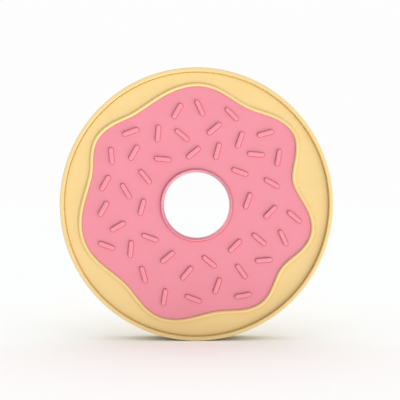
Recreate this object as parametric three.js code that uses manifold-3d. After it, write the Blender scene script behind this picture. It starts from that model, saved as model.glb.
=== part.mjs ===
// A silicone teething ring in the shape of an iced ring doughnut.
//
// Three kinds of piece: the biscuit-coloured body, the pink icing that lies in the body's wavy
// pocket and lines the hole, and forty-three small sprinkles seated in the icing.
//
// Units are millimetres and +Z is up. The ring stands on its rim: its iced face looks along -Y, its
// rim touches z = 0, and x = 0 and y = 0 are its middle. Every piece is drawn in face coordinates
// (x across, y up, z forward, out of the iced face), and the outer group stands the ring up.

import * as THREE from 'three';
import { mergeVertices } from 'three/addons/utils/BufferGeometryUtils.js';
import Module from 'manifold-3d';

// Driving dimensions. Heights are measured forward from the ring's mid-plane.
const OUTER_RADIUS = 42.5;
const HALF_THICKNESS = 5;
const GAP = 0.3;                     // clearance between touching pieces

const RIM_WIDTH = 1.3;               // raised lip round the outside, as high in front as behind
const RIM_SHOULDER = 0.7;            // how far each lip is rounded down its outer side
const RIM_LAND = 0.6;                // flat width of the back lip, which the ring can lie on
const FACE_TOP = 3.8;                // front face of the body, level with the icing
const FACE_ROUND = 0.6;              // width over which each face rounds down to the rim's groove
const GROOVE_DEPTH = 1.6;            // depth of that groove below its lip
const BACK_TOP = 4.55;               // back face of the body, behind the mid-plane

const HOLE_RADIUS = 10.5;            // clear radius of the hole
const HOLE_DROP = 0.35;              // how far the hole's centre lies below the ring's
const COLLAR_WALL = 1.65;            // icing that lines the hole
const COLLAR_BACK = 4.8;             // the collar's back end, behind the mid-plane
const LIP_WIDTH = 0.8;               // small lip of icing round the front of the hole
const LIP_TOP = 4.55;                // crest of that lip
const LIP_GROOVE = 0.2;              // depth of the groove outside it

const ICING_TOP = 3.8;
const ICING_THICKNESS = 1.6;
const ICING_ROUND = 0.3;             // rounding of the icing's outer edge
const BEAD_WIDTH = 1.0;              // raised bead of the body around the icing
const BEAD_TOP = 4.45;
const BEAD_ROUND = 0.3;

const SPRINKLE_LENGTH = 5.3;
const SPRINKLE_WIDTH = 1.4;
const SPRINKLE_TOP = 4.45;
const SPRINKLE_HEIGHT = 0.8;
const SPRINKLE_ROUND = 0.3;

const DOME_RADIUS = 1.6;             // low massage domes on the back face
const DOME_HEIGHT = 0.35;
const DOME_RINGS = [                 // radius of each ring of domes, and how many it holds
  [34.5, 24],
  [27, 18],
  [19.5, 12],
];

const TURN_STEPS = 60;               // facets round the ring; one of them is the foot it stands on
const COLLAR_STEPS = 48;
const OUTLINE_STEPS = 84;            // points round the icing's outline
const CURVE_STEPS = 3;               // points on each round stretch of a section
const PILL_STEPS = 2;
const DOME_STEPS = 8;

// The icing's outline swings between these turning points, lobe by lobe, anticlockwise from
// three o'clock: bearing from the ring's centre in degrees, and distance from it.
const OUTLINE_TURNS = [
  [13, 30.5],
  [38, 37],
  [63, 33.5],
  [89, 36.5],
  [123, 33.5],
  [146, 36.5],
  [166, 33.5],
  [197, 36.5],
  [227, 33],
  [253, 36.8],
  [280, 33.8],
  [302, 36.5],
  [323, 32.8],
  [345, 36.5],
];

// Where each sprinkle lies, from the top of the face to the bottom: across and up from the
// ring's centre, and the anticlockwise lean of its long side from level, in degrees.
const SPRINKLES = [
  [1, 30, -65],
  [-6, 29, 60],
  [11, 28, -45],
  [5.5, 23.5, 40],
  [-20.5, 22.5, 20],
  [-12, 22, 85],
  [21.5, 22, 15],
  [-4.5, 21.5, -40],
  [13.5, 20, 70],
  [6.5, 16.5, 75],
  [-19.5, 16, 60],
  [-1, 16, 40],
  [18.5, 15.5, -5],
  [-26.5, 15, -85],
  [25.5, 14.5, 80],
  [-10.5, 14, -5],
  [13.5, 10, -20],
  [-16, 8.5, -50],
  [-28.5, 6.5, 60],
  [23.5, 6.5, -30],
  [-22, 4, -60],
  [16, 1, 70],
  [-17, -1, 75],
  [-29, -1.5, 60],
  [23, -2.5, 45],
  [30.5, -4, -40],
  [-24.5, -7, 30],
  [-14.5, -10.5, -20],
  [27, -10.5, -65],
  [19.5, -11, -40],
  [-28, -13, -20],
  [12, -13, 45],
  [-20.5, -14, 85],
  [-9, -16.5, 40],
  [21, -17.5, 5],
  [4, -18, -40],
  [14, -21, -55],
  [-3, -21.5, 50],
  [-16.5, -22, -75],
  [6.5, -25.5, 70],
  [14.5, -28.5, 10],
  [-10, -29, 80],
  [-1, -29.5, -20],
];

const SILICONE_ROUGHNESS = 0.5;
const BISCUIT_COLOUR = 0xfce0a4;
const ICING_COLOUR = 0xf79aaa;
const SPRINKLE_COLOUR = 0xff9fb0;

// Solid joins and cuts

const manifold = await Module();
manifold.setup();

function toSolid(geometry) {
  const bare = geometry.clone();
  bare.deleteAttribute('normal');
  bare.deleteAttribute('uv');
  const merged = mergeVertices(bare, 1e-5);
  return new manifold.Manifold(new manifold.Mesh({
    numProp: 3,
    vertProperties: new Float32Array(merged.attributes.position.array),
    triVerts: new Uint32Array(merged.index.array),
  }));
}

function toGeometry(solid) {
  const mesh = solid.getMesh();
  const geometry = new THREE.BufferGeometry();
  geometry.setAttribute('position', new THREE.BufferAttribute(mesh.vertProperties, 3));
  geometry.setIndex(new THREE.BufferAttribute(mesh.triVerts, 1));
  geometry.computeVertexNormals();
  return geometry;
}

// Outlines and turned shapes

// Distance from the ring's centre to the icing's edge: half a cosine wave between each two turns.
function outlineRadius(bearing) {
  const [firstBearing, firstRadius] = OUTLINE_TURNS[0];
  const turns = [...OUTLINE_TURNS, [firstBearing + 360, firstRadius]];
  const around = firstBearing + THREE.MathUtils.euclideanModulo(bearing - firstBearing, 360);
  const next = turns.findIndex(([turn]) => turn > around);
  const [fromBearing, fromRadius] = turns[next - 1];
  const [toBearing, toRadius] = turns[next];
  const share = (around - fromBearing) / (toBearing - fromBearing);
  return THREE.MathUtils.lerp(fromRadius, toRadius, (1 - Math.cos(Math.PI * share)) / 2);
}

function outlinePoint(bearing) {
  const angle = THREE.MathUtils.degToRad(bearing);
  return new THREE.Vector2(Math.cos(angle), Math.sin(angle)).multiplyScalar(outlineRadius(bearing));
}

// The icing's outline, moved outward by `offset` at right angles to itself.
function outlinePoints(offset) {
  const points = [];
  for (let step = 0; step < OUTLINE_STEPS; step += 1) {
    const bearing = 360 * step / OUTLINE_STEPS;
    const along = outlinePoint(bearing + 1).sub(outlinePoint(bearing - 1)).normalize();
    const outward = new THREE.Vector2(along.y, -along.x);
    points.push(outlinePoint(bearing).addScaledVector(outward, offset));
  }
  return points;
}

// Turns a closed section (radius, forward) about its axis. The facets' flats, not their
// corners, lie at the section's radii, and one flat faces straight down.
function turned(section, steps) {
  const cornerStretch = 1 / Math.cos(Math.PI / steps);
  const points = section.getPoints(CURVE_STEPS).map(
    (point) => new THREE.Vector2(point.x * cornerStretch, point.y),
  );
  return new THREE.LatheGeometry(points, steps, Math.PI / steps).rotateX(Math.PI / 2);
}

// A flat outline given thickness from `low` to `high`, with its corners rounded by `round`.
function raised(shape, low, high, round) {
  const geometry = new THREE.ExtrudeGeometry(shape, {
    depth: high - low - 2 * round,
    bevelEnabled: round > 0,
    bevelThickness: round,
    bevelSize: round,
    bevelOffset: -round,
    bevelSegments: 1,
  });
  return geometry.translate(0, 0, low + round);
}

function pillShape(length, width) {
  const end = width / 2;
  const reach = length / 2 - end;
  const shape = new THREE.Shape();
  shape.absarc(reach, 0, end, -Math.PI / 2, Math.PI / 2);
  shape.absarc(-reach, 0, end, Math.PI / 2, 3 * Math.PI / 2);
  return shape;
}

// A pill standing forward from `low`, as a sprinkle or as the pocket that holds one.
function pill(length, width, low, height, round) {
  const geometry = new THREE.ExtrudeGeometry(pillShape(length, width), {
    depth: height - 2 * round,
    bevelEnabled: round > 0,
    bevelThickness: round,
    bevelSize: round,
    bevelOffset: -round,
    bevelSegments: 1,
    curveSegments: PILL_STEPS,
  });
  return geometry.translate(0, 0, low + round);
}

// The pieces

// The body before its bore and its pocket are cut: lip, groove and face on both sides.
function bodyDisc() {
  const groove = OUTER_RADIUS - RIM_WIDTH;
  const crest = OUTER_RADIUS - RIM_WIDTH / 2;
  const faceEdge = groove - FACE_ROUND;
  const core = HOLE_RADIUS;
  const backLip = -HALF_THICKNESS;
  const section = new THREE.Path();
  section.moveTo(OUTER_RADIUS, backLip + RIM_SHOULDER);
  section.lineTo(OUTER_RADIUS, HALF_THICKNESS - RIM_SHOULDER);
  section.quadraticCurveTo(OUTER_RADIUS, HALF_THICKNESS, crest, HALF_THICKNESS);
  section.quadraticCurveTo(groove, HALF_THICKNESS, groove, HALF_THICKNESS - GROOVE_DEPTH);
  section.quadraticCurveTo(groove, FACE_TOP, faceEdge, FACE_TOP);
  section.lineTo(core, FACE_TOP);
  section.lineTo(core, -BACK_TOP);
  section.lineTo(faceEdge, -BACK_TOP);
  section.quadraticCurveTo(groove, -BACK_TOP, groove, backLip + GROOVE_DEPTH);
  section.quadraticCurveTo(groove, backLip, crest - RIM_LAND / 2, backLip);
  section.lineTo(crest + RIM_LAND / 2, backLip);
  section.quadraticCurveTo(OUTER_RADIUS, backLip, OUTER_RADIUS, backLip + RIM_SHOULDER);
  return turned(section, TURN_STEPS);
}

// A drill through the body and the icing, centred on the hole.
function bore(radius) {
  const cornerStretch = 1 / Math.cos(Math.PI / COLLAR_STEPS);
  const drill = new THREE.CylinderGeometry(
    radius * cornerStretch,
    radius * cornerStretch,
    3 * HALF_THICKNESS,
    COLLAR_STEPS,
    1,
    false,
    Math.PI / COLLAR_STEPS,
  );
  return drill.rotateX(Math.PI / 2).translate(0, -HOLE_DROP, 0);
}

// The raised bead that follows the edge of the icing's pocket.
function bead() {
  const shape = new THREE.Shape(outlinePoints(GAP + BEAD_WIDTH));
  shape.holes.push(new THREE.Path(outlinePoints(GAP)));
  return raised(shape, FACE_TOP - ICING_THICKNESS / 2, BEAD_TOP, BEAD_ROUND);
}

function massageDomes() {
  const domes = [];
  for (const [ringRadius, count] of DOME_RINGS) {
    for (let index = 0; index < count; index += 1) {
      const angle = 2 * Math.PI * index / count;
      const dome = new THREE.SphereGeometry(DOME_RADIUS, DOME_STEPS, DOME_STEPS / 2);
      dome.rotateX(Math.PI / 2);
      dome.scale(1, 1, DOME_HEIGHT / DOME_RADIUS);
      dome.translate(ringRadius * Math.cos(angle), ringRadius * Math.sin(angle), -BACK_TOP);
      domes.push(dome);
    }
  }
  return domes;
}

function biscuitGeometry() {
  const pocketFloor = ICING_TOP - ICING_THICKNESS - GAP;
  const pocket = raised(new THREE.Shape(outlinePoints(GAP)), pocketFloor, HALF_THICKNESS, 0);
  let solid = toSolid(bodyDisc()).add(toSolid(bead())).subtract(toSolid(pocket));
  solid = solid.subtract(toSolid(bore(HOLE_RADIUS + COLLAR_WALL + GAP)));
  for (const dome of massageDomes()) {
    solid = solid.add(toSolid(dome));
  }
  return toGeometry(solid);
}

// The icing that lines the hole, with a small lip and groove round its front end.
function collar() {
  const groove = HOLE_RADIUS + LIP_WIDTH;
  const crest = HOLE_RADIUS + LIP_WIDTH / 2;
  const outer = HOLE_RADIUS + COLLAR_WALL;
  const grooveFloor = ICING_TOP - LIP_GROOVE;
  const section = new THREE.Path();
  section.moveTo(outer, -COLLAR_BACK);
  section.lineTo(outer, ICING_TOP);
  section.quadraticCurveTo(groove, ICING_TOP, groove, grooveFloor);
  section.quadraticCurveTo(groove, LIP_TOP, crest, LIP_TOP);
  section.quadraticCurveTo(HOLE_RADIUS, LIP_TOP, HOLE_RADIUS, grooveFloor);
  section.lineTo(HOLE_RADIUS, -COLLAR_BACK + LIP_WIDTH);
  section.quadraticCurveTo(HOLE_RADIUS, -COLLAR_BACK, groove, -COLLAR_BACK);
  section.lineTo(outer, -COLLAR_BACK);
  return turned(section, COLLAR_STEPS).translate(0, -HOLE_DROP, 0);
}

function icingPlate() {
  const shape = new THREE.Shape(outlinePoints(0));
  return raised(shape, ICING_TOP - ICING_THICKNESS, ICING_TOP, ICING_ROUND);
}

function sprinklePocket() {
  const floor = SPRINKLE_TOP - SPRINKLE_HEIGHT - GAP;
  const length = SPRINKLE_LENGTH + 2 * GAP;
  const width = SPRINKLE_WIDTH + 2 * GAP;
  return pill(length, width, floor, HALF_THICKNESS - floor, 0);
}

function icingGeometry() {
  let solid = toSolid(icingPlate()).subtract(toSolid(bore(HOLE_RADIUS + COLLAR_WALL / 2)));
  solid = solid.add(toSolid(collar()));
  for (const [across, up, lean] of SPRINKLES) {
    const pocket = sprinklePocket().rotateZ(THREE.MathUtils.degToRad(lean));
    solid = solid.subtract(toSolid(pocket.translate(across, up, 0)));
  }
  return toGeometry(solid);
}

function sprinkleGeometry() {
  const low = SPRINKLE_TOP - SPRINKLE_HEIGHT;
  return pill(SPRINKLE_LENGTH, SPRINKLE_WIDTH, low, SPRINKLE_HEIGHT, SPRINKLE_ROUND);
}

// The assembly

function piece(name, geometry, color) {
  const material = new THREE.MeshStandardMaterial({
    color,
    roughness: SILICONE_ROUGHNESS,
    metalness: 0,
  });
  const mesh = new THREE.Mesh(geometry, material);
  mesh.name = name;
  return mesh;
}

function sprinkles() {
  const geometry = sprinkleGeometry();
  const group = new THREE.Group();
  SPRINKLES.forEach(([across, up, lean], index) => {
    const number = String(index + 1).padStart(2, '0');
    const sprinkle = piece(`sprinkle_${number}`, geometry, SPRINKLE_COLOUR);
    sprinkle.position.set(across, up, 0);
    sprinkle.rotation.z = THREE.MathUtils.degToRad(lean);
    group.add(sprinkle);
  });
  return group;
}

const teethingRing = new THREE.Group();
teethingRing.add(piece('biscuit', biscuitGeometry(), BISCUIT_COLOUR));
teethingRing.add(piece('icing', icingGeometry(), ICING_COLOUR));
teethingRing.add(sprinkles());
teethingRing.rotation.x = Math.PI / 2;
teethingRing.position.z = OUTER_RADIUS;

export default teethingRing;
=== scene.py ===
"""The looks of the doughnut teething ring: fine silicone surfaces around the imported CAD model.

Every surface is drawn in face coordinates, as the CAD is: x across, y up from the ring's centre and
forward out of the iced face. stand() turns those into the frame's coordinates. Units are metres.
"""

import math

import bpy
import numpy as np
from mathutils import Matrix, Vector
from mathutils.geometry import delaunay_2d_cdt


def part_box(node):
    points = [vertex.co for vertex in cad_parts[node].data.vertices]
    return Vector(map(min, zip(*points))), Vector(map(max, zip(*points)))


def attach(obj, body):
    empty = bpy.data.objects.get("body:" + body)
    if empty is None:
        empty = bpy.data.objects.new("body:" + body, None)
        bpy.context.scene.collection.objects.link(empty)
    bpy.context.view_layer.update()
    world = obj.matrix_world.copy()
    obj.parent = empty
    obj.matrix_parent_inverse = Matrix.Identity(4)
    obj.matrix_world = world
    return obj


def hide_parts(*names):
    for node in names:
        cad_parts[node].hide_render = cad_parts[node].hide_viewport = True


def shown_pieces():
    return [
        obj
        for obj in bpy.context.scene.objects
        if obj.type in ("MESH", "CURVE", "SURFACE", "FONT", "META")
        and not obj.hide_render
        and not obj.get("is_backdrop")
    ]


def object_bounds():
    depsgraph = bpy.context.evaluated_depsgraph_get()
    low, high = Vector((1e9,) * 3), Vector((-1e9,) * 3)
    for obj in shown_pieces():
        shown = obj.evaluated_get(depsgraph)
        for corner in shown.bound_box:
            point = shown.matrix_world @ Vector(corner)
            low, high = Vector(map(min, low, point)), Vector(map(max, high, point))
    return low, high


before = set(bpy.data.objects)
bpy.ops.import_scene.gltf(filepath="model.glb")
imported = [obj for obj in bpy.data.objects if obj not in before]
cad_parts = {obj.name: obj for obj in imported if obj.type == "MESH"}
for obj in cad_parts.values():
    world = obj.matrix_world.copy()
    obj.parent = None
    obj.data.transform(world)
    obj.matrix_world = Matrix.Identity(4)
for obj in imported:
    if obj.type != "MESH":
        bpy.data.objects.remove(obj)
cad_low, cad_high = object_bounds()

MM = 0.001

# Driving dimensions. The ring's size, place and main heights come from the CAD model's boxes.
OUTER_RADIUS = (cad_high.x - cad_low.x) / 2
HALF_THICKNESS = (cad_high.y - cad_low.y) / 2
CENTRE_Z = (cad_high.z + cad_low.z) / 2
LIP_TOP = -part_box("icing")[0].y
COLLAR_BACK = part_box("icing")[1].y
SPRINKLE_TOP = -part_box("sprinkle_01")[0].y

RIM_WIDTH = 1.1 * MM
RIM_GROOVE = 1.6 * MM
GROOVE_WIDTH = 0.27 * MM
RIM_SHOULDER = 0.3 * MM
RIM_INNER_ROUND = 0.06 * MM
FACE_TOP = 3.8 * MM
FACE_ROUND = 0.15 * MM
BACK_TOP = 4.55 * MM
BACK_LAND = 0.6 * MM
PARTING_LINE = 0.05 * MM

BEAD_WIDTH = 1.1 * MM
BEAD_HEIGHT = 0.6 * MM
BEAD_DIP = 0.1 * MM
BEAD_FULLNESS = 0.9
FACE_DIP_WIDTH = 1.0 * MM
SEAM = 0.02 * MM
SEAM_OFFSET = 0.16 * MM

ICING_TOP = FACE_TOP
ICING_THICKNESS = 1.6 * MM
ICING_ROUND = 0.5 * MM
HOLE_RADIUS = 10.5 * MM
HOLE_DROP = 0.35 * MM
COLLAR_WALL = 1.65 * MM
LIP_WIDTH = 0.75 * MM
LIP_GROOVE = 0.2 * MM

SPRINKLE_SIDE = 0.7 * MM
SPRINKLE_REACH = 1.95 * MM
SPRINKLE_CREST = 0.45 * MM
POCKET_SIDE = 0.72 * MM
POCKET_ROUND = 0.3 * MM
POCKET_DROP = 0.15 * MM
POCKET_DEPTH = 0.4 * MM

DOME_RADIUS = 1.6 * MM
DOME_HEIGHT = 0.35 * MM
DOME_RINGS = [(34.5 * MM, 24), (27 * MM, 18), (19.5 * MM, 12)]

# The icing's outline swings between these turning points: bearing in degrees, distance in mm.
OUTLINE_TURNS = [
    (13, 30.5),
    (38, 37),
    (63, 33.5),
    (89, 36.5),
    (123, 33.5),
    (146, 36.5),
    (166, 33.5),
    (197, 36.5),
    (227, 33),
    (253, 36.8),
    (280, 33.8),
    (302, 36.5),
    (323, 32.8),
    (345, 36.5),
]

TURN_STEPS = 720
HOLE_STEPS = 240
ARC_STEPS = 8
FACE_STEPS = 14
BACK_STEPS = 60
PILL_STEPS = 10


# Shapes shared by the pieces


def outline_radius(bearing):
    """Distance from the ring's centre to the icing's edge: half a cosine wave between two turns."""
    first_bearing, first_radius = OUTLINE_TURNS[0]
    turns = OUTLINE_TURNS + [(first_bearing + 360, first_radius)]
    around = first_bearing + (bearing - first_bearing) % 360
    bearings = np.array([turn[0] for turn in turns])
    radii = np.array([turn[1] for turn in turns]) * MM
    last = np.clip(np.searchsorted(bearings, around, side="right") - 1, 0, len(turns) - 2)
    share = (around - bearings[last]) / (bearings[last + 1] - bearings[last])
    return radii[last] + (radii[last + 1] - radii[last]) * (1 - np.cos(np.pi * share)) / 2


def outline_ring(offset):
    """The seam round the icing moved outward by offset, as TURN_STEPS points across and up."""
    def point(bearing):
        angle = np.radians(bearing)
        return np.stack([np.cos(angle), np.sin(angle)], 1) * outline_radius(bearing)[:, None]

    bearing = 360 * np.arange(TURN_STEPS) / TURN_STEPS
    along = point(bearing + 1) - point(bearing - 1)
    along /= np.linalg.norm(along, axis=1)[:, None]
    outward = np.stack([along[:, 1], -along[:, 0]], 1)
    return point(bearing) + (SEAM_OFFSET + offset) * outward


def circle_ring(radius, steps=TURN_STEPS, drop=0.0):
    angle = 2 * np.pi * np.arange(steps) / steps
    return np.stack([np.cos(angle), np.sin(angle)], 1) * radius - [0, drop]


def at_height(ring, forward):
    """Adds the forward coordinate to a ring of points."""
    return np.column_stack([ring, np.broadcast_to(forward, len(ring))])


def arc(start, end, steps=ARC_STEPS):
    """Angles from start to end degrees."""
    return np.radians(np.linspace(start, end, steps + 1))


def stand(points):
    """Face coordinates to the frame: the iced face looks along -Y and the rim stands on z = 0."""
    points = np.asarray(points, float)
    return np.column_stack([points[:, 0], -points[:, 2], points[:, 1] + CENTRE_Z])


def make_piece(name, points, faces, material, slot, *nodes):
    """A smooth mesh that rides with the model and stands for the CAD nodes named."""
    mesh = bpy.data.meshes.new(name)
    mesh.from_pydata(stand(points).tolist(), [], faces)
    mesh.validate()
    mesh.shade_smooth()
    mesh.materials.append(material)
    obj = bpy.data.objects.new(name, mesh)
    bpy.context.scene.collection.objects.link(obj)
    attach(obj, "root")
    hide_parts(*nodes)
    return obj


def loft(rings, closed=True):
    """Joins rings of equal length into quads. closed joins the last ring to the first."""
    steps = len(rings[0])
    faces = []
    pairs = [(k, (k + 1) % len(rings)) for k in range(len(rings) if closed else len(rings) - 1)]
    for low, high in pairs:
        for i in range(steps):
            j = (i + 1) % steps
            faces.append((low * steps + i, low * steps + j, high * steps + j, high * steps + i))
    return np.concatenate(rings), faces


# Materials


def painted_sheen_edge(nodes, links, place, start, end, painted_sheen_colour):
    """A painted sheen: a paler tint that grows from one distance from the ring's axis to another and
    stands in for grazing reflection, not a colour of the silicone. Its base colour goes into socket 6
    and its result comes out of socket 2."""
    spokes = nodes.new("ShaderNodeVectorMath")
    spokes.operation = "MULTIPLY_ADD"
    spokes.inputs[1].default_value = (1, 0, 1)
    spokes.inputs[2].default_value = (0, 0, -CENTRE_Z)
    links.new(place, spokes.inputs[0])
    radius = nodes.new("ShaderNodeVectorMath")
    radius.operation = "LENGTH"
    links.new(spokes.outputs["Vector"], radius.inputs[0])
    grade = nodes.new("ShaderNodeMapRange")
    grade.inputs["From Min"].default_value = start
    grade.inputs["From Max"].default_value = end
    links.new(radius.outputs["Value"], grade.inputs["Value"])
    tint = nodes.new("ShaderNodeMix")
    tint.data_type = "RGBA"
    tint.blend_type = "MULTIPLY"
    tint.inputs[7].default_value = (*painted_sheen_colour, 1)
    links.new(grade.outputs["Result"], tint.inputs["Factor"])
    return tint


def silicone(name, colour, deep_colour, edge=None):
    """Satin moulded silicone: faint mottling, a fine mould grain and a little light inside. A thin
    edge can get a painted sheen, a paler colour that stands in for grazing reflection: edge holds the
    two distances from the ring's axis it runs between, and its tint."""
    material = bpy.data.materials.new(name)
    material.use_nodes = True
    nodes = material.node_tree.nodes
    links = material.node_tree.links
    shader = nodes["Principled BSDF"]
    place = nodes.new("ShaderNodeTexCoord").outputs["Object"]

    mottle = nodes.new("ShaderNodeTexNoise")
    mottle.inputs["Scale"].default_value = 90
    mottle.inputs["Detail"].default_value = 4
    links.new(place, mottle.inputs["Vector"])
    ramp = nodes.new("ShaderNodeValToRGB")
    ramp.color_ramp.elements[0].position = 0.3
    ramp.color_ramp.elements[0].color = (*deep_colour, 1)
    ramp.color_ramp.elements[1].position = 0.7
    ramp.color_ramp.elements[1].color = (*colour, 1)
    links.new(mottle.outputs["Fac"], ramp.inputs["Fac"])
    links.new(ramp.outputs["Color"], shader.inputs["Base Color"])
    # Painted sheen: the edge tint makes the base colour paler where grazing reflection would lighten
    # it.
    if edge:
        tint = painted_sheen_edge(nodes, links, place, *edge)
        links.new(ramp.outputs["Color"], tint.inputs[6])
        links.new(tint.outputs[2], shader.inputs["Base Color"])

    grain = nodes.new("ShaderNodeTexNoise")
    grain.inputs["Scale"].default_value = 2600
    grain.inputs["Detail"].default_value = 3
    links.new(place, grain.inputs["Vector"])
    gloss = nodes.new("ShaderNodeMapRange")
    gloss.inputs["To Min"].default_value = 0.40
    gloss.inputs["To Max"].default_value = 0.55
    links.new(grain.outputs["Fac"], gloss.inputs["Value"])
    links.new(gloss.outputs["Result"], shader.inputs["Roughness"])
    bump = nodes.new("ShaderNodeBump")
    bump.inputs["Strength"].default_value = 0.25
    bump.inputs["Distance"].default_value = 0.02 * MM
    links.new(grain.outputs["Fac"], bump.inputs["Height"])
    links.new(bump.outputs["Normal"], shader.inputs["Normal"])

    shader.inputs["IOR"].default_value = 1.42
    shader.inputs["Subsurface Weight"].default_value = 0.12
    shader.inputs["Subsurface Radius"].default_value = (1.0, 0.5, 0.4)
    shader.inputs["Subsurface Scale"].default_value = 1.0 * MM
    return material


def floor_material():
    material = bpy.data.materials.new("pale_floor")
    material.use_nodes = True
    shader = material.node_tree.nodes["Principled BSDF"]
    shader.inputs["Base Color"].default_value = FLOOR_COLOUR
    shader.inputs["Roughness"].default_value = 1.0
    shader.inputs["Specular IOR Level"].default_value = 0.0
    return material


# The body


def dome_rise(ring):
    """How far the massage domes stand out of the back face at each point of a ring."""
    rise = np.zeros(len(ring))
    radius = np.linalg.norm(ring, axis=1)
    angle = np.arctan2(ring[:, 1], ring[:, 0])
    for ring_radius, count in DOME_RINGS:
        pitch = 2 * np.pi / count
        nearest = np.round(angle / pitch) * pitch
        across = np.sqrt(
            radius**2 + ring_radius**2 - 2 * radius * ring_radius * np.cos(angle - nearest)
        )
        rise = np.maximum(rise, DOME_HEIGHT * (1 - (across / DOME_RADIUS) ** 2))
    return rise


def front_rim_rings():
    """The raised rim: a round outer shoulder, a flat crest and a steep wall down to the groove."""
    wall = OUTER_RADIUS - PARTING_LINE
    groove = wall - RIM_WIDTH
    section = []
    for t in arc(0, 90):
        radius = wall - RIM_SHOULDER * (1 - math.cos(t))
        section.append((radius, HALF_THICKNESS - RIM_SHOULDER * (1 - math.sin(t))))
    for t in arc(90, 180):
        radius = groove + RIM_INNER_ROUND * (1 + math.cos(t))
        section.append((radius, HALF_THICKNESS - RIM_INNER_ROUND * (1 - math.sin(t))))
    section.append((groove, HALF_THICKNESS - RIM_GROOVE))
    return [at_height(circle_ring(radius), height) for radius, height in section]


def face_rings():
    """From the rim's groove over the face to the foot of the bead."""
    groove = OUTER_RADIUS - PARTING_LINE - RIM_WIDTH - GROOVE_WIDTH
    floor = HALF_THICKNESS - RIM_GROOVE
    foot = outline_ring(SEAM + BEAD_WIDTH)
    edge = circle_ring(groove - FACE_ROUND)
    rings = []
    for t in arc(0, 90):
        radius = groove - FACE_ROUND * (1 - math.cos(t))
        rings.append(at_height(circle_ring(radius), floor + (FACE_TOP - floor) * math.sin(t)))
    for k in range(1, FACE_STEPS + 1):
        share = 1 - (1 - k / FACE_STEPS) ** 2
        ring = edge * (1 - share) + foot * share
        near = np.linalg.norm(ring - foot, axis=1) / FACE_DIP_WIDTH
        rings.append(at_height(ring, FACE_TOP - BEAD_DIP * np.clip(1 - near, 0, 1) ** 2))
    return rings


def bead_rings():
    """The raised bead round the icing, from its outer foot to the seam."""
    half = BEAD_WIDTH / 2
    rings = []
    for t in arc(0, 180, 2 * ARC_STEPS)[1:]:
        rise = (BEAD_HEIGHT + BEAD_DIP) * math.sin(t) ** BEAD_FULLNESS
        ring = outline_ring(SEAM + half + half * math.cos(t))
        rings.append(at_height(ring, FACE_TOP - BEAD_DIP + rise))
    return rings


def back_rings():
    """From the bore over the back face, its groove and the back lip to the outer wall."""
    wall = OUTER_RADIUS - PARTING_LINE
    groove = wall - RIM_WIDTH
    crest = wall - RIM_WIDTH / 2
    bore = HOLE_RADIUS + COLLAR_WALL + SEAM
    floor = HALF_THICKNESS - RIM_GROOVE
    corner = 0.3 * MM
    rings = []
    for t in arc(0, 90, 4):
        ring = circle_ring(bore + corner * (1 - math.cos(t)), drop=HOLE_DROP)
        rings.append(at_height(ring, -BACK_TOP + corner * (1 - math.sin(t))))
    inner = circle_ring(bore + corner, drop=HOLE_DROP)
    edge = circle_ring(groove - FACE_ROUND)
    for k in range(1, BACK_STEPS + 1):
        ring = inner + (edge - inner) * k / BACK_STEPS
        rings.append(at_height(ring, -BACK_TOP - dome_rise(ring)))
    for t in arc(90, 0, 4)[1:]:
        radius = groove - FACE_ROUND * (1 - math.cos(t))
        rings.append(at_height(circle_ring(radius), -floor - (BACK_TOP - floor) * math.sin(t)))
    land = crest - BACK_LAND / 2
    for t in arc(0, 90)[1:]:
        radius = land - (land - groove) * math.cos(t)
        rings.append(at_height(circle_ring(radius), -floor - (HALF_THICKNESS - floor) * math.sin(t)))
    land = crest + BACK_LAND / 2
    for t in arc(90, 0):
        radius = land + (wall - land) * math.cos(t)
        height = HALF_THICKNESS - RIM_SHOULDER * (1 - math.sin(t))
        rings.append(at_height(circle_ring(radius), -height))
    return rings


def wall_rings():
    """The outer wall with the faint parting line of a two-part mould."""
    wall = OUTER_RADIUS - PARTING_LINE
    plain = HALF_THICKNESS - RIM_SHOULDER - 0.1 * MM
    section = [(0, -plain), (0, -0.3 * MM), (0, -0.2 * MM), (0.5, -0.1 * MM), (1, 0)]
    section += [(rise, -forward) for rise, forward in reversed(section[:-1])]
    return [at_height(circle_ring(wall + rise * PARTING_LINE), forward) for rise, forward in section]


def build_biscuit(material):
    bore = HOLE_RADIUS + COLLAR_WALL + SEAM
    pocket_floor = ICING_TOP - ICING_THICKNESS - SEAM
    rings = front_rim_rings() + face_rings() + bead_rings()
    rings.append(at_height(outline_ring(SEAM), pocket_floor))
    rings.append(at_height(circle_ring(bore, drop=HOLE_DROP), pocket_floor))
    rings += back_rings() + wall_rings()
    points, faces = loft(rings)
    return make_piece("biscuit_body", points, faces, material, "biscuit_silicone", "biscuit")


# The icing


def pill_ring(centre, lean, side):
    """A pill's outline: every point lies `side` from the sprinkle's middle line."""
    ends = []
    for sign in (1, -1):
        angle = arc(-90, 90, PILL_STEPS) + (0 if sign > 0 else np.pi)
        end = np.stack([np.cos(angle), np.sin(angle)], 1) * side
        ends.append(end + [sign * SPRINKLE_REACH, 0])
    ring = np.concatenate(ends)
    turn = np.array([[math.cos(lean), math.sin(lean)], [-math.sin(lean), math.cos(lean)]])
    return ring @ turn + centre


def sprinkle_places():
    """Each sprinkle's centre and lean, measured on its CAD node."""
    places = []
    for name in sorted(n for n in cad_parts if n.startswith("sprinkle_")):
        low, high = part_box(name)
        centre = np.array([(low.x + high.x) / 2, (low.z + high.z) / 2 - CENTRE_Z])
        points = np.array([v.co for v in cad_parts[name].data.vertices])[:, [0, 2]]
        spread = np.cov((points - points.mean(0)).T)
        long_side = np.linalg.eigh(spread)[1][:, 1]
        places.append((name, centre, math.atan2(long_side[1], long_side[0])))
    return places


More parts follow.
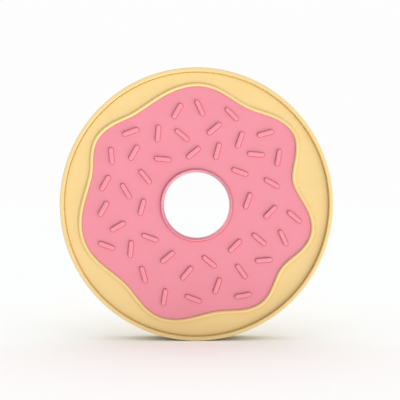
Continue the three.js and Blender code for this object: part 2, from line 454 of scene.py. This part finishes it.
def collar_rings():
    """From the icing's top round the hole's groove and lip, down the hole and up the collar."""
    half = LIP_WIDTH / 2
    groove = HOLE_RADIUS + LIP_WIDTH
    floor = ICING_TOP - LIP_GROOVE
    outer = HOLE_RADIUS + COLLAR_WALL
    round_in = 0.6 * MM
    section = []
    for t in arc(90, 0):
        section.append((groove + round_in * (1 - math.cos(t)), floor + LIP_GROOVE * math.sin(t)))
    for t in arc(0, 180, 2 * ARC_STEPS)[1:]:
        section.append((groove - half + half * math.cos(t), floor + (LIP_TOP - floor) * math.sin(t)))
    back = COLLAR_BACK - LIP_WIDTH
    for t in arc(180, 90):
        section.append((groove + LIP_WIDTH * math.cos(t), -back - LIP_WIDTH * math.sin(t)))
    corner = 0.3 * MM
    for t in arc(90, 0, 4):
        section.append((outer - corner * (1 - math.cos(t)), -COLLAR_BACK + corner * (1 - math.sin(t))))
    section.append((outer, ICING_TOP - ICING_THICKNESS))
    return [at_height(circle_ring(radius, HOLE_STEPS, HOLE_DROP), height) for radius, height in section]


def edge_rings():
    """The icing's softly rounded edge, from its top down into the seam with the bead."""
    rings = []
    for t in arc(90, 0):
        ring = outline_ring(-ICING_ROUND * (1 - math.cos(t)))
        rings.append(at_height(ring, ICING_TOP - BEAD_DIP * (1 - math.sin(t))))
    rings.append(at_height(outline_ring(0), ICING_TOP - ICING_THICKNESS))
    return rings


def pocket_loops(centre, lean):
    """The pocket's loops from its rounded mouth to its floor, each with its height."""
    mouth = POCKET_SIDE + POCKET_ROUND
    loops = [(pill_ring(centre, lean, mouth + 0.05 * MM), ICING_TOP)]
    for t in arc(90, 0, 4):
        side = mouth - POCKET_ROUND * math.cos(t)
        loops.append((pill_ring(centre, lean, side), ICING_TOP - POCKET_DROP * (1 - math.sin(t))))
    wall = POCKET_SIDE - 0.01 * MM
    loops.append((pill_ring(centre, lean, wall), ICING_TOP - POCKET_DEPTH))
    loops.append((pill_ring(centre, lean, wall / 2), ICING_TOP - POCKET_DEPTH))
    return loops


def fill_between(loops, keep):
    """Triangles that fill a plane around closed loops of points with their heights. keep says
    which of the triangles' centres to keep."""
    flat, heights, edges = [], [], []
    for ring, height in loops:
        start = len(flat)
        count = len(ring)
        flat += [Vector(p) for p in ring]
        heights += [height] * count
        edges += [(start + i, start + (i + 1) % count) for i in range(count)]
    made, _, faces, origins, _, _ = delaunay_2d_cdt(flat, edges, [], 1, 1e-7)
    points = np.array([(p.x, p.y, heights[o[0]]) for p, o in zip(made, origins)])
    faces = [f for f in faces if keep(points[list(f), :2].mean(0))]
    return points, faces


def join_parts(parts):
    """Joins (points, faces) parts into one list, merging points that coincide."""
    index, points, faces = {}, [], []
    for part_points, part_faces in parts:
        new = []
        for p in part_points:
            key = tuple(np.round(np.asarray(p) / (0.001 * MM)).astype(int))
            if key not in index:
                index[key] = len(points)
                points.append(p)
            new.append(index[key])
        faces += [tuple(new[i] for i in f) for f in part_faces]
    return np.array(points), faces


def flipped(part):
    points, faces = part
    return points, [face[::-1] for face in faces]


def build_icing(material):
    edge = edge_rings()
    collar = collar_rings()
    hole_centre = np.array([0, -HOLE_DROP])

    def outside(radius):
        return lambda centre: np.linalg.norm(centre - hole_centre) > radius

    loops = [(edge[0][:, :2], ICING_TOP), (collar[0][:, :2], ICING_TOP)]
    for _, centre, lean in sprinkle_places():
        loops += pocket_loops(centre, lean)
    top = fill_between(loops, outside(0.999 * np.linalg.norm(collar[0][0, :2] - hole_centre)))
    under_height = ICING_TOP - ICING_THICKNESS
    under = fill_between(
        [(edge[-1][:, :2], under_height), (collar[-1][:, :2], under_height)],
        outside(0.999 * np.linalg.norm(collar[-1][0, :2] - hole_centre)),
    )
    side = loft(edge, closed=False)
    tube = loft(collar, closed=False)
    points, faces = join_parts([top, flipped(under), flipped(side), tube])
    return make_piece("icing_skin", points, faces, material, "icing_silicone", "icing")


# The sprinkles


def sprinkle_rings(centre, lean):
    bottom = ICING_TOP - POCKET_DEPTH + 0.01 * MM
    shoulder = ICING_TOP - POCKET_DROP
    rings = [
        at_height(pill_ring(centre, lean, SPRINKLE_SIDE - 0.1 * MM), bottom),
        at_height(pill_ring(centre, lean, SPRINKLE_SIDE), bottom + 0.1 * MM),
    ]
    for t in arc(0, 90):
        side = SPRINKLE_CREST + (SPRINKLE_SIDE - SPRINKLE_CREST) * math.cos(t)
        height = shoulder + (SPRINKLE_TOP - shoulder) * math.sin(t)
        rings.append(at_height(pill_ring(centre, lean, side), height))
    rings.append(at_height(pill_ring(centre, lean, SPRINKLE_CREST / 2), SPRINKLE_TOP))
    return rings


def build_sprinkles(material):
    for name, centre, lean in sprinkle_places():
        points, faces = loft(sprinkle_rings(centre, lean), closed=False)
        steps = len(pill_ring(centre, lean, 1))
        last = len(points) - steps
        faces.append(tuple(last + i for i in range(steps)))
        faces.append(tuple(reversed(range(steps))))
        make_piece("soft_" + name, points, faces, material, "sprinkle_silicone", name)


# The stage

FLOOR_COLOUR = (0.848, 0.86, 0.86, 1)
BACKGROUND_WHITE = 0.985
ROOM_LIGHT = 0.79
FLOOR_LIGHT = 1.15
KEY_LIGHT = 3.5
KEY_TILT = 68
KEY_SPREAD = 80
FILL_LIGHT = 1.6


def build_floor():
    size = 3.0
    mesh = bpy.data.meshes.new("floor")
    corners = [(-size, -size, 0), (size, -size, 0), (size, size, 0), (-size, size, 0)]
    mesh.from_pydata(corners, [], [(0, 1, 2, 3)])
    mesh.materials.append(floor_material())
    floor = bpy.data.objects.new("floor", mesh)
    bpy.context.scene.collection.objects.link(floor)
    floor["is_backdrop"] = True
    return floor


def build_world():
    """A pale room: white behind the ring, and dimmer as a light."""
    world = bpy.data.worlds.new("pale_room")
    bpy.context.scene.world = world
    world.use_nodes = True
    nodes = world.node_tree.nodes
    links = world.node_tree.links
    seen = nodes["Background"]
    seen.inputs["Color"].default_value = (1, 1, 1, 1)
    seen.inputs["Strength"].default_value = BACKGROUND_WHITE
    room = nodes.new("ShaderNodeBackground")
    room.inputs["Color"].default_value = (1, 1, 1, 1)
    room.inputs["Strength"].default_value = ROOM_LIGHT
    path = nodes.new("ShaderNodeLightPath")
    mix = nodes.new("ShaderNodeMixShader")
    links.new(path.outputs["Is Camera Ray"], mix.inputs["Fac"])
    links.new(room.outputs["Background"], mix.inputs[1])
    links.new(seen.outputs["Background"], mix.inputs[2])
    links.new(mix.outputs["Shader"], nodes["World Output"].inputs["Surface"])


def build_flag():
    """A graded flag just under the floor, which shades the ring's foot from the key light."""
    width, front, back, depth = 0.3, -30 * MM, 10 * MM, -1 * MM
    mesh = bpy.data.meshes.new("flag")
    corners = [(-width, front), (width, front), (width, back), (-width, back)]
    mesh.from_pydata([(x, y, depth) for x, y in corners], [], [(0, 1, 2, 3)])
    material = bpy.data.materials.new("graded_flag")
    material.use_nodes = True
    nodes = material.node_tree.nodes
    links = material.node_tree.links
    split = nodes.new("ShaderNodeSeparateXYZ")
    links.new(nodes.new("ShaderNodeTexCoord").outputs["Object"], split.inputs["Vector"])
    grade = nodes.new("ShaderNodeMapRange")
    grade.inputs["From Min"].default_value = front
    grade.inputs["From Max"].default_value = 0
    links.new(split.outputs["Y"], grade.inputs["Value"])
    ramp = nodes.new("ShaderNodeValToRGB")
    ramp.color_ramp.elements[0].color = (0, 0, 0, 1)
    ramp.color_ramp.elements.new(0.72).color = (0.5, 0.5, 0.5, 1)
    ramp.color_ramp.elements.new(0.8).color = (1, 1, 1, 1)
    links.new(grade.outputs["Result"], ramp.inputs["Fac"])
    links.new(ramp.outputs["Color"], nodes["Principled BSDF"].inputs["Alpha"])
    mesh.materials.append(material)
    flag = bpy.data.objects.new("flag", mesh)
    bpy.context.scene.collection.objects.link(flag)
    flag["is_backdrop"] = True
    return flag


def add_sun(name, strength, direction, spread, lit, casting):
    """Soft light from a direction, spread over an angle in degrees. It lights only some objects,
    and only some cast its shadows."""
    data = bpy.data.lights.new(name, "SUN")
    data.energy = strength
    data.angle = math.radians(spread)
    lamp = bpy.data.objects.new(name, data)
    bpy.context.scene.collection.objects.link(lamp)
    lamp.rotation_euler = Vector(direction).to_track_quat("Z", "Y").to_euler()
    for role, objects in (("receiver", lit), ("blocker", casting)):
        group = bpy.data.collections.new(f"{name}_{role}s")
        for obj in objects:
            group.objects.link(obj)
        setattr(lamp.light_linking, f"{role}_collection", group)


def build_lights(floor, flag):
    """A key from the face's lower right, a raking fill behind, and overhead light on the floor."""
    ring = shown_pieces()
    tilt = math.radians(KEY_TILT)
    low_right = math.sin(tilt) / math.sqrt(2)
    add_sun("key", KEY_LIGHT, (low_right, -math.cos(tilt), -low_right), KEY_SPREAD, ring, ring + [flag])
    add_sun("fill", FILL_LIGHT, (-1.0, 0.7, 0.6), KEY_SPREAD / 2, ring, ring)
    add_sun("overhead", FLOOR_LIGHT, (0, 0, 1), 90, [floor], ring)


def build_camera():
    """The camera looks level, straight at the iced face, from a little right of its middle."""
    distance = 234 * MM
    data = bpy.data.cameras.new("camera")
    data.lens = 67.9
    camera = bpy.data.objects.new("camera", data)
    bpy.context.scene.collection.objects.link(camera)
    camera.location = (1.11 * MM, -HALF_THICKNESS - distance, CENTRE_Z + 1.25 * MM)
    camera.rotation_euler = (math.radians(90), 0, 0)
    bpy.context.scene.camera = camera


build_camera()
# Painted sheen: the rim's outer crest and wall are made paler and bluer, standing in for grazing
# reflection of the white room.
rim_painted_sheen = (OUTER_RADIUS - RIM_WIDTH, OUTER_RADIUS, (0.94, 1.0, 1.16))
# Painted reflection: the lip round the hole is made greyer, standing in for grazing reflection of the
# white room.
lip_painted_sheen = (HOLE_RADIUS + LIP_WIDTH + 0.3 * MM, HOLE_RADIUS, (0.86, 1.05, 1.03))
build_biscuit(silicone("biscuit_silicone", (0.77, 0.565, 0.25), (0.75, 0.55, 0.24), rim_painted_sheen))
build_icing(silicone("icing_silicone", (0.74, 0.25, 0.312), (0.72, 0.24, 0.30), lip_painted_sheen))
# Painted highlight: the sprinkles' pink is the icing's pink made about 4% lighter, standing in for
# their less shaded raised tops.
build_sprinkles(silicone("sprinkle_silicone", (0.765, 0.26, 0.325), (0.745, 0.25, 0.315)))
build_world()
build_lights(build_floor(), build_flag())
bpy.context.scene.view_settings.view_transform = "Standard"
